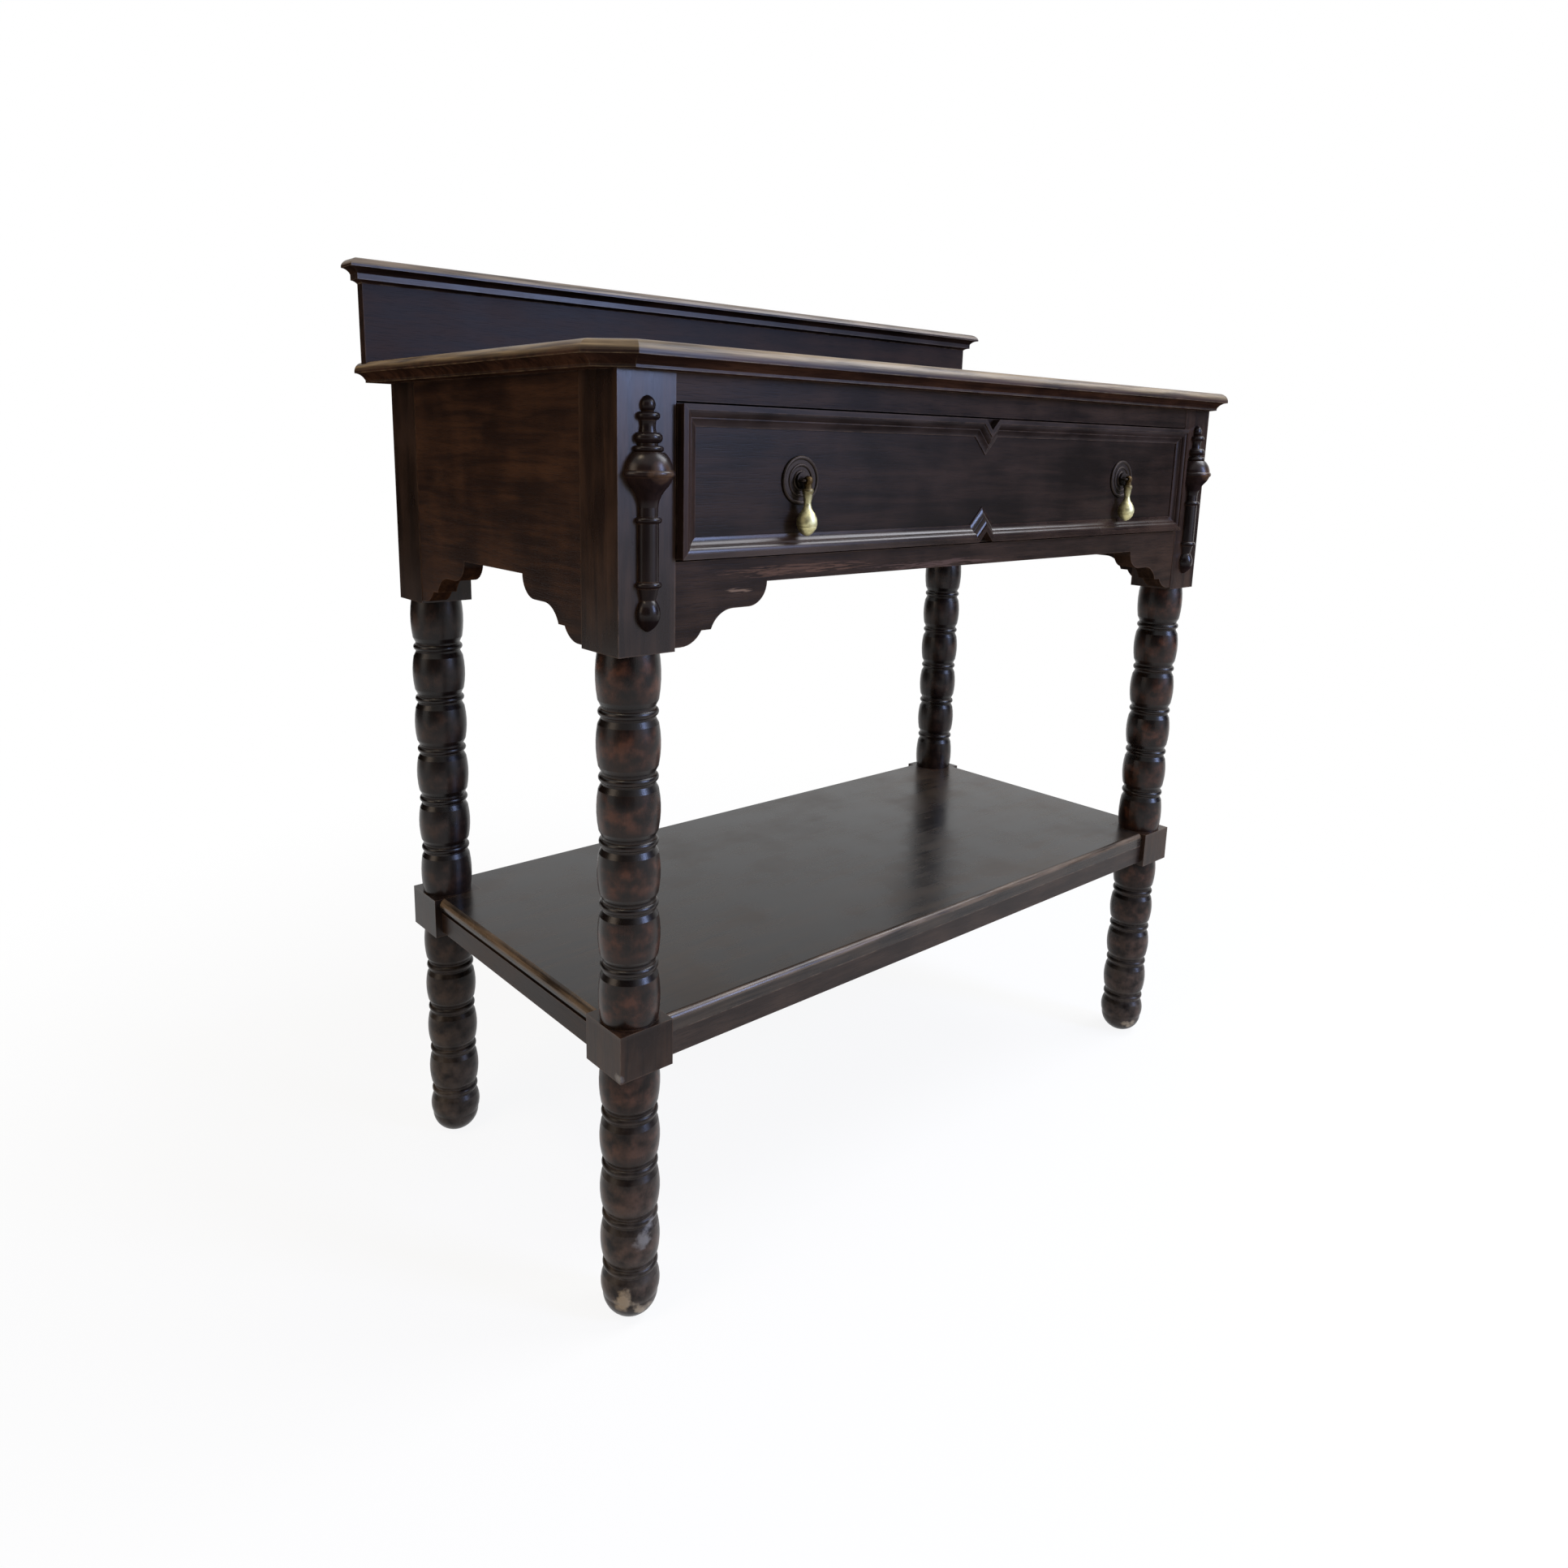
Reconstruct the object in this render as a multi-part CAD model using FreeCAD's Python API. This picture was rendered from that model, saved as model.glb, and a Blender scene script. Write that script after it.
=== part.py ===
import FreeCAD, Part
import math
import os

V = FreeCAD.Vector
os.makedirs("parts", exist_ok=True)

# Millimetres. X runs left to right, the front faces -Y, Z is up from the floor,
# and the origin lies on the floor under the middle of the table.

# Carcase
case_width = 788.0  # over the outer faces of the legs
case_depth = 376.0
leg_length = 757.0  # floor to the underside of the top
leg_stock = 49.0  # square section of a leg
post_length = 198.0  # square head of a leg, as tall as the case
shelf_height = 266.0  # floor to the top of the shelf
block_length = 39.0  # square block that takes the shelf rails
face_inset = 0.4  # panels and rails stand this far behind the leg faces
side_thickness = 18.0
rail_thickness = 20.0  # top rail and apron
back_thickness = 10.0
back_housing = 6.0  # depth of the grooves for the back in the legs
tenon_thickness = 8.0
tenon_length = 15.0
tenon_shoulder = 5.0

# Bobbin turning of the legs
bobbins_above = 6
bobbins_below = 4
bobbin_diameter = 48.8
shoulder_diameter = 45.8  # ends of each bobbin
groove_diameter = 41.4
ring_diameter = 45.6
ring_height = 6.0
groove_height = 1.8
bevel_height = 4.4
foot_height = 38.5
foot_curve = 21.0  # height of the rounding under the foot
foot_waist_diameter = 40.4
foot_flat_diameter = 14.0

# Drawer opening, apron and its fretted brackets
top_rail_height = 19.8
opening_height = 112.7
apron_height = 19.0  # at the arch
bracket_length = 88.0
knee_radius = 18.5
knee_fillet = 15.0
cove_run = 21.0
cove_rise = 14.5
toe_fillet = 9.0
toe_run = 19.0
toe_rise = 11.0

# Top, with canted front corners, and the gallery on its back edge
top_thickness = 18.0
overhang_side = 25.0
overhang_front = 22.0
overhang_back = 22.0
corner_cant = 28.0
top_undercut = 10.0
top_fillet = 2.0
top_nose_low = 8.0
top_nose_high = 10.0
top_round = 9.0
gallery_inset = 3.0  # from each end of the top
gallery_thickness = 11.0
gallery_height = 67.0  # from the top to the cap
gallery_setback = 1.0  # face of the gallery behind the back of the case
gallery_housing = 4.0
cap_height = 20.5
cap_projection = 14.0
cap_bead = 6.0
cap_bead_height = 2.6
cap_fillet_height = 7.6
cap_nose_low = 12.4
cap_nose_high = 14.4
cap_round = 9.0

# Shelf
shelf_thickness = 14.5
shelf_setback = 5.0  # edges behind the faces of the blocks
nosing = 5.0
front_round = 5.0  # upper rounding of the front and back edges
shelf_rail_height = 20.0
shelf_rail_thickness = 18.0
shelf_rail_setback = 7.0  # end rails; the front and back rails stand flush with the shelf

# Drawer
drawer_gap = 1.2  # round the drawer front
running_gap = 0.3  # between the drawer and its runners
drawer_back_gap = 15.2  # behind the drawer, where the stops stand
front_thickness = 20.0
drawer_side_thickness = 12.0
drawer_side_drop = 14.2  # sides below the top of the opening
drawer_back_thickness = 10.0
drawer_back_inset = 8.0
drawer_bottom_thickness = 6.0
drawer_bottom_height = 9.0  # above the lower edge of the sides
drawer_groove = 4.0
tail_count = 3
tail_width = 20.0
tail_flare = 3.0
front_lap = 6.0
runner_height = 16.0
runner_ledge = 17.0  # bearing that shows inside the leg faces
guide_height = 20.0
stop_gap = 0.4
stop_height = 14.0

# Mitred moulding on the drawer front
moulding_width = 15.4
moulding_height = 7.6
moulding_fillet = 4.2
moulding_step = 1.0
moulding_quirk = 9.0
moulding_quirk_height = 3.4
moulding_quirk_width = 0.8
moulding_edge = 0.9
moulding_margin = 0.5
notch_depth = 9.6
notch_half_width = 9.4

# Half-round turning on each front leg: height and radius of each member, and relief of each bead
turning_drop = 17.0  # below the underside of the top
ball_height = 11.0
ball_radius = 5.7
ball_neck_radius = 4.2
collar_height = 5.6
collar_relief = 2.5
throat_height = 8.2
throat_radius = 6.5
throat_waist_radius = 5.9
cushion_height = 7.4
cushion_relief = 2.7
cushion_end_radius = 8.1
neck_height = 1.6
neck_radius = 7.6
astragal_height = 4.4
astragal_relief = 2.1
astragal_end_radius = 9.5
bell_height = 12.2
bell_top_radius = 12.2
bell_middle_radius = 16.6
bell_radius = 18.2
rim_height = 4.9
rim_relief = 1.6
cup_height = 7.0
cup_middle_radius = 16.7
cup_radius = 14.2
flare_height = 13.8
flare_middle_radius = 9.5
stem_height = 6.4
stem_radius = 7.7
band_height = 4.6
band_relief = 2.1
shaft_height = 40.8
shaft_radius = 8.3
taper_height = 8.8
tip_radius = 6.1
egg_height = 22.7
egg_radius = 9.3
end_radius = 1.0  # flat left at both ends of the turning

# Pear-drop handles
handle_inset = 118.3  # from each end of the drawer front
handle_rise = 1.3  # plate centre above the middle of the drawer front
plate_diameter = 38.0
plate_edge = 0.8
plate_rim_width = 3.2
plate_rim_height = 2.2
plate_dish_height = 1.0
plate_ring_diameter = 23.4
plate_ring_width = 2.4
plate_ring_height = 2.0
plate_boss_diameter = 16.0
plate_boss_height = 2.2
pivot_standoff = 9.4  # pivot in front of the drawer face
wire_diameter = 2.4
staple_foot_margin = 0.7
wire_bend = 1.6  # radius of the staple's corners at the middle of the wire
shank_diameter = 4.0
shank_tail = 2.0  # past the nut
shank_gap = 0.1
pivot_gap = 0.06
head_diameter = 7.6
head_width = 5.6
head_gap = 0.35
link_height = 2.2  # between the head and the bead
link_diameter = 6.0
bead_height = 3.6
bead_diameter = 9.0
drop_neck_top_diameter = 7.8
drop_neck_diameter = 5.6
drop_neck_height = 7.6
pear_shoulder_height = 7.3
pear_shoulder_diameter = 11.4
pear_swell_height = 7.6
pear_diameter = 16.4
pear_base_height = 10.4
pear_tip_diameter = 1.6
score_drop = 2.9  # scored line below the widest part of the pear
score_width = 0.8
score_depth = 0.35
nut_width = 9.0
nut_height = 3.0

# Places that several pieces share
left = -case_width / 2
front = -case_depth / 2
back = case_depth / 2
leg_x = left + leg_stock / 2
leg_y = front + leg_stock / 2
post_face_x = left + leg_stock
post_face_y = front + leg_stock
post_bottom = leg_length - post_length
block_bottom = shelf_height - block_length
opening_top = leg_length - top_rail_height
opening_bottom = opening_top - opening_height
arch_top = opening_bottom - apron_height
bracket_bottom = arch_top - knee_radius - cove_rise - toe_rise
panel_x = left + face_inset
panel_inner_x = panel_x + side_thickness
rail_y = front + face_inset
rail_back_y = rail_y + rail_thickness
back_outer_y = back - face_inset
back_inner_y = back_outer_y - back_thickness
top_surface = leg_length + top_thickness


def box(x0, x1, y0, y1, z0, z1):
    return Part.makeBox(x1 - x0, y1 - y0, z1 - z0, V(x0, y0, z0))


def mirror_x(shape):
    return shape.mirror(V(0, 0, 0), V(1, 0, 0))


def mirror_y(shape):
    return shape.mirror(V(0, 0, 0), V(0, 1, 0))


def outline(place, start, steps):
    """Closed wire from a start point: a step is (end,) for a line or (middle, end) for an arc."""
    edges = []
    here = place(*start)
    for step in list(steps) + [(start,)]:
        there = place(*step[-1])
        if len(step) == 2:
            edges.append(Part.Arc(here, place(*step[0]), there).toShape())
        elif here.distanceToPoint(there) > 1e-6:
            edges.append(Part.makeLine(here, there))
        here = there
    return Part.Wire(edges)


def flat_arc(flat, end):
    """Middle of the arc that leaves a point level with the run and passes through an end."""
    run = end[0] - flat[0]
    rise = end[1] - flat[1]
    radius = (run * run + rise * rise) / (2 * abs(rise))
    half = math.atan2(abs(rise), abs(run))
    across = math.copysign(radius * math.sin(half), run)
    along = math.copysign(radius * (1 - math.cos(half)), rise)
    return (flat[0] + across, flat[1] + along)


def upright_arc(height, end, other):
    """Middle radius of an arc that stands upright at one end and reaches another radius."""
    change = other - end
    radius = (change * change + height * height) / (2 * abs(change))
    return end + math.copysign(radius - math.sqrt(radius**2 - (height / 2) ** 2), change)


def spun(start, steps, axis_x, axis_y, sweep=360.0, turn=0.0):
    """Body of revolution about an upright axis, from its half section of radius and height."""

    def place(radius, z):
        return V(axis_x + radius, axis_y, z)

    face = Part.Face(outline(place, start, steps))
    face.rotate(V(axis_x, axis_y, 0), V(0, 0, 1), turn)
    return face.revolve(V(axis_x, axis_y, 0), V(0, 0, 1), sweep)


def turned(members, base, axis_x, axis_y, sweep=360.0, turn=0.0):
    """Lathe work from the bottom up: (height, r0, r1) is a taper, (height, r0, middle, r1) a curve."""
    steps = []
    z = base
    for member in members:
        height = member[0]
        steps.append(((member[1], z),))
        if len(member) == 4:
            steps.append(((member[2], z + height / 2), (member[3], z + height)))
        else:
            steps.append(((member[2], z + height),))
        z += height
    steps.append(((0.0, z),))
    return spun((0.0, base), steps, axis_x, axis_y, sweep, turn)


def moulded_slab(sides, base):
    """Slab that keeps inside every side; a side is its direction, distance and edge section."""
    slab = None
    reach = case_width + case_depth
    for degrees, distance, section in sides:
        across = V(math.cos(math.radians(degrees)), math.sin(math.radians(degrees)), 0)
        along = V(-across.y, across.x, 0)

        def place(u, w):
            return across * (distance + u) - along * reach + V(0, 0, base + w)

        depth = section[-1][-1][1]
        steps = list(section) + [((-2 * reach, depth),)]
        prism = Part.Face(outline(place, (-2 * reach, 0.0), steps)).extrude(along * (2 * reach))
        slab = prism if slab is None else slab.common(prism)
    return slab


def square_edge(height):
    return [((0.0, 0.0),), ((0.0, height),)]


def export(name, shape):
    shape.exportStep("parts/" + name + ".step")


# Fretted lower edge: two brackets with an ovolo, a cove and a second ovolo under a flat arch
def fretted_edge(span):
    toe = (bracket_length - knee_radius - knee_fillet - cove_run - toe_fillet - toe_run, bracket_bottom)
    ledge = (toe[0] + toe_run, bracket_bottom + toe_rise)
    cove = (ledge[0] + toe_fillet, ledge[1])
    knee = (cove[0] + cove_run, cove[1] + cove_rise)
    heel = (knee[0] + knee_fillet, knee[1])
    crown = (bracket_length, arch_top)
    half = [
        (None, toe),
        (flat_arc(toe, ledge), ledge),
        (None, cove),
        (flat_arc(knee, cove), knee),
        (None, heel),
        (flat_arc(heel, crown), crown),
    ]

    def flip(point):
        return (span - point[0], point[1])

    steps = [(end,) if middle is None else (middle, end) for middle, end in half]
    steps.append((flip(crown),))
    ends = [(0.0, bracket_bottom)] + [end for _, end in half]
    for i in range(len(half) - 1, -1, -1):
        middle = half[i][0]
        steps.append((flip(ends[i]),) if middle is None else (flip(middle), flip(ends[i])))
    return steps


def fretted_board(span, top, place, thickness):
    steps = fretted_edge(span) + [((span, top),), ((0.0, top),)]
    return Part.Face(outline(place, (0.0, bracket_bottom), steps)).extrude(thickness)


# Sides: one board each between the legs, tenoned at both ends
def side_place(s, z):
    return V(panel_x, post_face_y + s, z)


side_span = -2 * post_face_y
side_panel = fretted_board(side_span, leg_length, side_place, V(side_thickness, 0, 0))
side_tenon_x = panel_x + (side_thickness - tenon_thickness) / 2
side_panel = side_panel.fuse(
    box(
        side_tenon_x,
        side_tenon_x + tenon_thickness,
        post_face_y - tenon_length,
        -post_face_y + tenon_length,
        arch_top + tenon_shoulder,
        leg_length - tenon_shoulder,
    )
).removeSplitter()


# Apron and top rail across the front
def apron_place(s, z):
    return V(post_face_x + s, rail_y, z)


front_span = -2 * post_face_x
rail_tenon_y = rail_y + (rail_thickness - tenon_thickness) / 2
front_apron = fretted_board(front_span, opening_bottom, apron_place, V(0, rail_thickness, 0))
apron_tenon = box(
    post_face_x - tenon_length,
    -post_face_x + tenon_length,
    rail_tenon_y,
    rail_tenon_y + tenon_thickness,
    arch_top + tenon_shoulder / 2,
    opening_bottom - tenon_shoulder / 2,
)
front_apron = front_apron.fuse(apron_tenon).removeSplitter()
front_top_rail = box(post_face_x, -post_face_x, rail_y, rail_back_y, opening_top, leg_length)
top_rail_tenon = box(
    post_face_x - tenon_length,
    -post_face_x + tenon_length,
    rail_tenon_y,
    rail_tenon_y + tenon_thickness,
    opening_top + tenon_shoulder / 2,
    leg_length - tenon_shoulder / 2,
)
front_top_rail = front_top_rail.fuse(top_rail_tenon).removeSplitter()

# Back, housed in grooves in the back legs
back_panel = box(
    post_face_x - back_housing,
    -post_face_x + back_housing,
    back_inner_y,
    back_outer_y,
    arch_top,
    leg_length,
)

# Shelf rails under the shelf, tenoned into the blocks
shelf_rail_top = shelf_height - shelf_thickness
shelf_rail_bottom = shelf_rail_top - shelf_rail_height
shelf_tenon_inset = (shelf_rail_thickness - tenon_thickness) / 2
shelf_rail_y = front + shelf_setback
shelf_rail_x = left + shelf_rail_setback
shelf_rail_front = box(
    post_face_x,
    -post_face_x,
    shelf_rail_y,
    shelf_rail_y + shelf_rail_thickness,
    shelf_rail_bottom,
    shelf_rail_top,
).fuse(
    box(
        post_face_x - tenon_length,
        -post_face_x + tenon_length,
        shelf_rail_y + shelf_tenon_inset,
        shelf_rail_y + shelf_tenon_inset + tenon_thickness,
        shelf_rail_bottom + tenon_shoulder / 2,
        shelf_rail_top - tenon_shoulder / 2,
    )
).removeSplitter()
shelf_rail_left = box(
    shelf_rail_x,
    shelf_rail_x + shelf_rail_thickness,
    post_face_y,
    -post_face_y,
    shelf_rail_bottom,
    shelf_rail_top,
).fuse(
    box(
        shelf_rail_x + shelf_tenon_inset,
        shelf_rail_x + shelf_tenon_inset + tenon_thickness,
        post_face_y - tenon_length,
        -post_face_y + tenon_length,
        shelf_rail_bottom + tenon_shoulder / 2,
        shelf_rail_top - tenon_shoulder / 2,
    )
).removeSplitter()

# Legs: square post and block, bobbins between rings, and a rounded foot
bobbin_r = bobbin_diameter / 2
shoulder_r = shoulder_diameter / 2
groove_r = groove_diameter / 2
ring_r = ring_diameter / 2
collar = [
    (bevel_height, shoulder_r, groove_r),
    (groove_height, groove_r, groove_r),
    (ring_height, groove_r, ring_r, groove_r),
    (groove_height, groove_r, groove_r),
    (bevel_height, groove_r, shoulder_r),
]
collar_total = 2 * (bevel_height + groove_height) + ring_height


def bobbin(length):
    return [(length, shoulder_r, bobbin_r, shoulder_r)]


def upper_turning():
    length = post_bottom - shelf_height
    middle = (length - (bobbins_above - 1) * collar_total - 2 * bevel_height) / bobbins_above
    members = bobbin(middle + bevel_height)
    for i in range(1, bobbins_above):
        members += collar + bobbin(middle + (bevel_height if i == bobbins_above - 1 else 0.0))
    return members


def lower_turning():
    length = block_bottom - foot_height
    middle = (length - bobbins_below * collar_total - bevel_height) / bobbins_below
    foot_r = foot_flat_diameter / 2
    members = [
        (foot_curve, foot_r, foot_waist_diameter / 2, shoulder_r),
        (foot_height - foot_curve, shoulder_r, bobbin_r, shoulder_r),
    ]
    for i in range(bobbins_below):
        members += collar + bobbin(middle + (bevel_height if i == bobbins_below - 1 else 0.0))
    return members


leg_blank = box(left, post_face_x, front, post_face_y, post_bottom, leg_length)
leg_blank = leg_blank.multiFuse(
    [
        box(left, post_face_x, front, post_face_y, block_bottom, shelf_height),
        turned(upper_turning(), shelf_height, leg_x, leg_y),
        turned(lower_turning(), 0.0, leg_x, leg_y),
    ]
).removeSplitter()
leg_front_left = leg_blank.cut(side_panel).cut(front_apron).cut(front_top_rail)
leg_front_left = leg_front_left.cut(shelf_rail_front).cut(shelf_rail_left)
leg_back_left = mirror_y(leg_blank).cut(side_panel).cut(back_panel)
leg_back_left = leg_back_left.cut(mirror_y(shelf_rail_front)).cut(shelf_rail_left)

# Shelf board notched round the blocks, with a full nosing at the ends and a rounded front and back
nosing_edge = [
    ((-nosing, 0.0),),
    ((0.0, shelf_thickness / 2), (-nosing, shelf_thickness)),
]
round_start = shelf_thickness - front_round
rounded_edge = [
    ((0.0, 0.0),),
    ((0.0, round_start),),
    (flat_arc((-front_round, shelf_thickness), (0.0, round_start)), (-front_round, shelf_thickness)),
]
shelf_half_x = case_width / 2 - shelf_setback
shelf_half_y = case_depth / 2 - shelf_setback
shelf_board = moulded_slab(
    [
        (0.0, shelf_half_x, nosing_edge),
        (90.0, shelf_half_y, rounded_edge),
        (180.0, shelf_half_x, nosing_edge),
        (270.0, shelf_half_y, rounded_edge),
    ],
    shelf_rail_top,
)
notch = box(left, post_face_x, front, post_face_y, shelf_rail_top, shelf_height)
for corner in (notch, mirror_x(notch), mirror_y(notch), mirror_x(mirror_y(notch))):
    shelf_board = shelf_board.cut(corner)

# Top with an ovolo over a cove along the front, the ends and the two canted corners
top_half_width = case_width / 2 + overhang_side
top_front = case_depth / 2 + overhang_front
top_back = case_depth / 2 + overhang_back
cant_distance = (top_half_width + top_front - corner_cant) / math.sqrt(2)
top_edge = [
    ((-top_undercut, 0.0),),
    ((-top_undercut, top_fillet),),
    (flat_arc((0.0, top_nose_low), (-top_undercut, top_fillet)), (0.0, top_nose_low)),
    ((0.0, top_nose_high),),
    (flat_arc((-top_round, top_thickness), (0.0, top_nose_high)), (-top_round, top_thickness)),
]
top_board = moulded_slab(
    [
        (0.0, top_half_width, top_edge),
        (90.0, top_back, square_edge(top_thickness)),
        (180.0, top_half_width, top_edge),
        (225.0, cant_distance, top_edge),
        (270.0, top_front, top_edge),
        (315.0, cant_distance, top_edge),
    ],
    leg_length,
)

# Gallery board, housed in the top and in its moulded cap
gallery_y = back + gallery_setback
gallery_back_y = gallery_y + gallery_thickness
gallery_half = top_half_width - gallery_inset
cap_bottom = top_surface + gallery_height
gallery_board = box(
    -gallery_half,
    gallery_half,
    gallery_y,
    gallery_back_y,
    top_surface - gallery_housing,
    cap_bottom + gallery_housing,
)
top_board = top_board.cut(gallery_board)
cap_edge = [
    ((-cap_projection, 0.0),),
    (
        flat_arc((cap_bead - cap_projection, cap_bead_height), (-cap_projection, 0.0)),
        (cap_bead - cap_projection, cap_bead_height),
    ),
    ((cap_bead - cap_projection, cap_fillet_height),),
    (
        flat_arc((0.0, cap_nose_low), (cap_bead - cap_projection, cap_fillet_height)),
        (0.0, cap_nose_low),
    ),
    ((0.0, cap_nose_high),),
    (flat_arc((-cap_round, cap_height), (0.0, cap_nose_high)), (-cap_round, cap_height)),
]
gallery_cap = moulded_slab(
    [
        (0.0, gallery_half + cap_projection, cap_edge),
        (90.0, gallery_back_y, square_edge(cap_height)),
        (180.0, gallery_half + cap_projection, cap_edge),
        (270.0, cap_projection - gallery_y, cap_edge),
    ],
    cap_bottom,
).cut(gallery_board)

# Runners, guides, kickers and stops that carry the drawer
runner_inner_x = post_face_x + runner_ledge
strip = box(panel_inner_x, runner_inner_x, rail_back_y, back_inner_y, 0.0, leg_length)
for post_y in (front, -post_face_y):
    strip = strip.cut(box(left, post_face_x, post_y, post_y + leg_stock, 0.0, leg_length))
runner_band = box(left, 0.0, front, back, opening_bottom - runner_height, opening_bottom)
drawer_runner_left = strip.common(runner_band)
kicker_left = strip.common(box(left, 0.0, front, back, opening_top, leg_length))
drawer_guide_left = box(
    panel_inner_x,
    post_face_x,
    post_face_y,
    -post_face_y,
    opening_bottom,
    opening_bottom + guide_height,
)
drawer_back_end = back_inner_y - drawer_back_gap
stop_left = box(
    post_face_x + drawer_gap,
    runner_inner_x,
    drawer_back_end + stop_gap,
    back_inner_y,
    opening_bottom,
    opening_bottom + stop_height,
)

# Drawer box: dovetailed to the front, back housed in the sides, bottom in grooves
drawer_half = -post_face_x - drawer_gap
front_bottom = opening_bottom + drawer_gap
front_top = opening_top - drawer_gap
front_back_y = rail_y + front_thickness
side_bottom = opening_bottom + running_gap
side_top = opening_top - drawer_side_drop
side_inner = -drawer_half + drawer_side_thickness
bottom_low = side_bottom + drawer_bottom_height
bottom_high = bottom_low + drawer_bottom_thickness
drawer_bottom = box(
    side_inner - drawer_groove,
    -side_inner + drawer_groove,
    front_back_y - drawer_groove,
    drawer_back_end,
    bottom_low,
    bottom_high,
)
drawer_back = box(
    side_inner - drawer_groove,
    -side_inner + drawer_groove,
    drawer_back_end - drawer_back_inset - drawer_back_thickness,
    drawer_back_end - drawer_back_inset,
    bottom_high,
    side_top,
)
drawer_side_left = box(-drawer_half, side_inner, front_back_y, drawer_back_end, side_bottom, side_top)
tail_pitch = (side_top - front_bottom) / tail_count
tail_tip_y = rail_y + front_lap
for i in range(tail_count):
    centre = front_bottom + tail_pitch * (i + 0.5)
    root = tail_width / 2
    tip = root + tail_flare
    tail = Part.makePolygon(
        [
            V(-drawer_half, front_back_y, centre - root),
            V(-drawer_half, tail_tip_y, centre - tip),
            V(-drawer_half, tail_tip_y, centre + tip),
            V(-drawer_half, front_back_y, centre + root),
            V(-drawer_half, front_back_y, centre - root),
        ]
    )
    drawer_side_left = drawer_side_left.fuse(Part.Face(tail).extrude(V(drawer_side_thickness, 0, 0)))
drawer_side_left = drawer_side_left.removeSplitter().cut(drawer_bottom).cut(drawer_back)
drawer_side_right = mirror_x(drawer_side_left)
drawer_front = box(-drawer_half, drawer_half, rail_y, front_back_y, front_bottom, front_top)
drawer_front = drawer_front.cut(drawer_side_left).cut(drawer_side_right).cut(drawer_bottom)


# Moulding: strips mitred round the drawer front, with a notch in the middle of each long side
def moulding_corners():
    x = drawer_half - moulding_margin
    low = front_bottom + moulding_margin
    high = front_top - moulding_margin
    return [
        (-x, low),
        (-notch_half_width, low),
        (0.0, low + notch_depth),
        (notch_half_width, low),
        (x, low),
        (x, high),
        (notch_half_width, high),
        (0.0, high - notch_depth),
        (-notch_half_width, high),
        (-x, high),
    ]


def unit(a, b):
    length = math.hypot(b[0] - a[0], b[1] - a[1])
    return ((b[0] - a[0]) / length, (b[1] - a[1]) / length)


def inner_corners(corners):
    """Corners moved inwards by the moulding's width, each along its mitre."""
    inner = []
    for i, corner in enumerate(corners):
        before = unit(corners[i - 1], corner)
        after = unit(corner, corners[(i + 1) % len(corners)])
        mitre = (-before[1] - after[1], before[0] + after[0])
        stretch = moulding_width / (-mitre[0] * after[1] + mitre[1] * after[0])
        inner.append((corner[0] + mitre[0] * stretch, corner[1] + mitre[1] * stretch))
    return inner


moulding_section = [
    ((0.0, moulding_height),),
    ((moulding_fillet, moulding_height),),
    ((moulding_fillet, moulding_height - moulding_step),),
    (
        flat_arc(
            (moulding_fillet, moulding_height - moulding_step),
            (moulding_quirk, moulding_quirk_height),
        ),
        (moulding_quirk, moulding_quirk_height),
    ),
    ((moulding_quirk + moulding_quirk_width, moulding_quirk_height),),
    (
        flat_arc(
            (moulding_width, moulding_edge),
            (moulding_quirk + moulding_quirk_width, moulding_quirk_height),
        ),
        (moulding_width, moulding_edge),
    ),
    ((moulding_width, 0.0),),
]


def moulding_strip(a, b, inner_a, inner_b):
    along = unit(a, b)
    reach = 2 * moulding_width

    def place(u, h):
        return V(
            a[0] - along[0] * reach - along[1] * u,
            rail_y - h,
            a[1] - along[1] * reach + along[0] * u,
        )

    length = math.hypot(b[0] - a[0], b[1] - a[1]) + 2 * reach
    bar = Part.Face(outline(place, (0.0, 0.0), moulding_section))
    bar = bar.extrude(V(along[0] * length, 0, along[1] * length))
    plan = [V(p[0], rail_y, p[1]) for p in (a, b, inner_b, inner_a, a)]
    return bar.common(Part.Face(Part.makePolygon(plan)).extrude(V(0, -moulding_height, 0)))


corners = moulding_corners()
inner = inner_corners(corners)
strips = []
for i in range(len(corners)):
    j = (i + 1) % len(corners)
    strips.append(moulding_strip(corners[i], corners[j], inner[i], inner[j]))
drawer_moulding_bottom = Part.makeCompound(strips[0:4])
drawer_moulding_right = strips[4]
drawer_moulding_top = Part.makeCompound(strips[5:9])
drawer_moulding_left = strips[9]

# Half-round turning glued to the face of each front leg
split_members = [
    (egg_height, end_radius, egg_radius, tip_radius),
    (taper_height, tip_radius, shaft_radius),
    (band_height, shaft_radius, shaft_radius + band_relief, shaft_radius),
    (shaft_height, shaft_radius, shaft_radius),
    (band_height, shaft_radius, shaft_radius + band_relief, shaft_radius),
    (stem_height, stem_radius, stem_radius),
    (flare_height, stem_radius, flare_middle_radius, cup_radius),
    (cup_height, cup_radius, cup_middle_radius, bell_radius),
    (rim_height, bell_radius, bell_radius + rim_relief, bell_radius),
    (bell_height, bell_radius, bell_middle_radius, bell_top_radius),
    (astragal_height, astragal_end_radius, astragal_end_radius + astragal_relief, astragal_end_radius),
    (neck_height, neck_radius, neck_radius),
    (cushion_height, cushion_end_radius, cushion_end_radius + cushion_relief, cushion_end_radius),
    (throat_height, throat_radius, throat_waist_radius, throat_radius),
    (collar_height, throat_radius, throat_radius + collar_relief, throat_radius),
    (ball_height, ball_neck_radius, ball_radius, end_radius),
]
split_length = sum(member[0] for member in split_members)
split_turning_left = turned(
    split_members,
    leg_length - turning_drop - split_length,
    leg_x,
    front,
    180.0,
    180.0,
).removeSplitter()

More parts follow.
